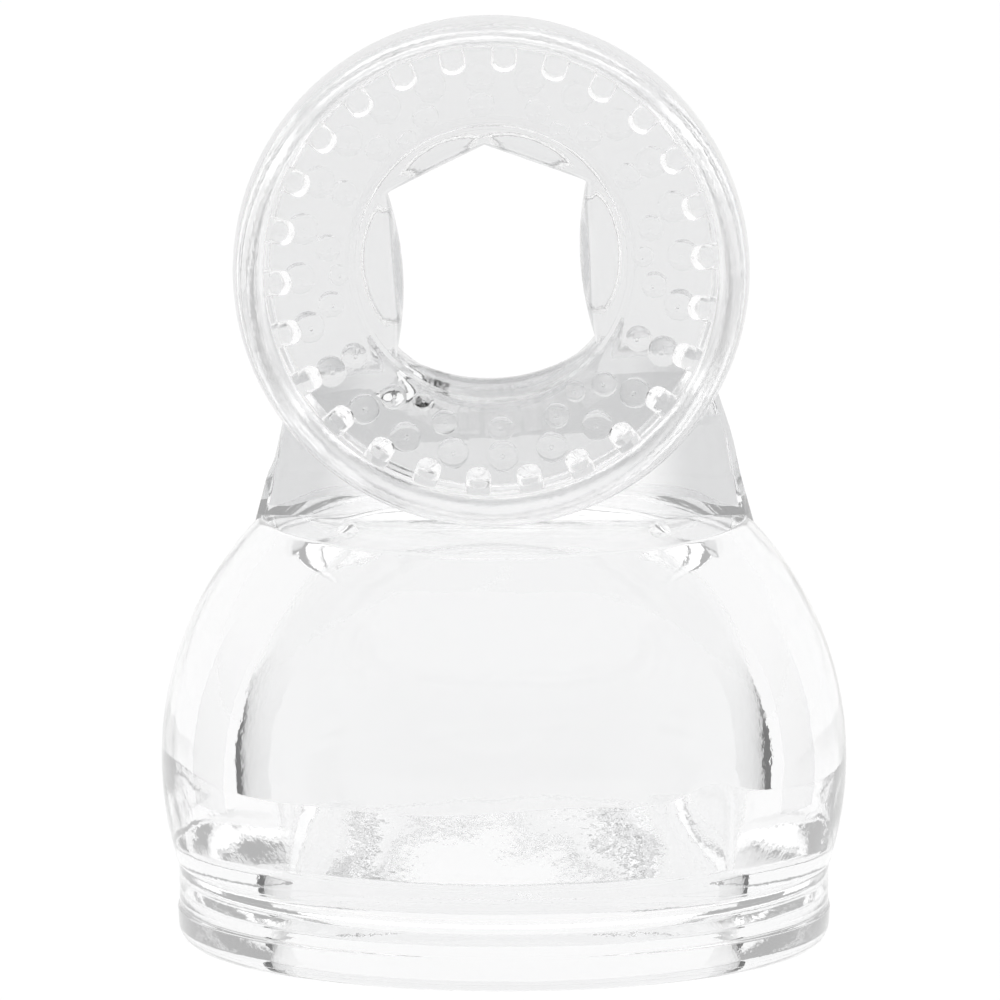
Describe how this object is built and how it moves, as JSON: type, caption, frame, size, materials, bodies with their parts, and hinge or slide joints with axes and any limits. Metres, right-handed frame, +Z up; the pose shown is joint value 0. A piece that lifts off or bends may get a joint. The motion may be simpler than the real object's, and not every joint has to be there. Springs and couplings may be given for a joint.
{
  "type": "clear elastomer stretch ring with bell cup",
  "caption": "Soft clear moulding: a studded stretch ring with a lobed hole, held by a flexible web above a thick-walled, open-mouthed bell cup.",
  "frame": {"origin": "centre of the cup's mouth, on the plane the rim stands on", "axes": "+Z up the cup's axis to the ring, -Y the way the ring's studded face looks, +X across the ring to its right as seen from the front"},
  "size_m": [0.0686, 0.0688, 0.095],
  "materials": {
    "clear_elastomer": "clear, glossy, colourless"
  },
  "bodies": {
    "cup": {"rim_band": "clear_elastomer", "mouth_lip": "clear_elastomer", "waist_band": "clear_elastomer", "cup_wall": "clear_elastomer", "shoulder": "clear_elastomer", "deck_disc": "clear_elastomer", "deck_pips": "clear_elastomer", "parting_line": "clear_elastomer", "web_foot": "clear_elastomer", "web_flex": "clear_elastomer"},
    "ring": {"web_head": "clear_elastomer", "ring_flange": "clear_elastomer", "ring_floor": "clear_elastomer", "throat_wall": "clear_elastomer", "side_pads": "clear_elastomer", "top_pads": "clear_elastomer", "bottom_pad": "clear_elastomer", "stud_row_outer": "clear_elastomer", "stud_row_second": "clear_elastomer", "stud_row_third": "clear_elastomer", "stud_row_inner": "clear_elastomer"}
  },
  "joints": [
    {"name": "ring_nod", "type": "hinge", "parent": "cup", "child": "ring", "pos_m": [0, 0.005, 0.0484], "axis": [1, 0, 0], "range_deg": [-25, 2], "stiffness_Nm_per_rad": 0.2, "springref_deg": -0.57, "deforming": ["web_flex"]}
  ]
}
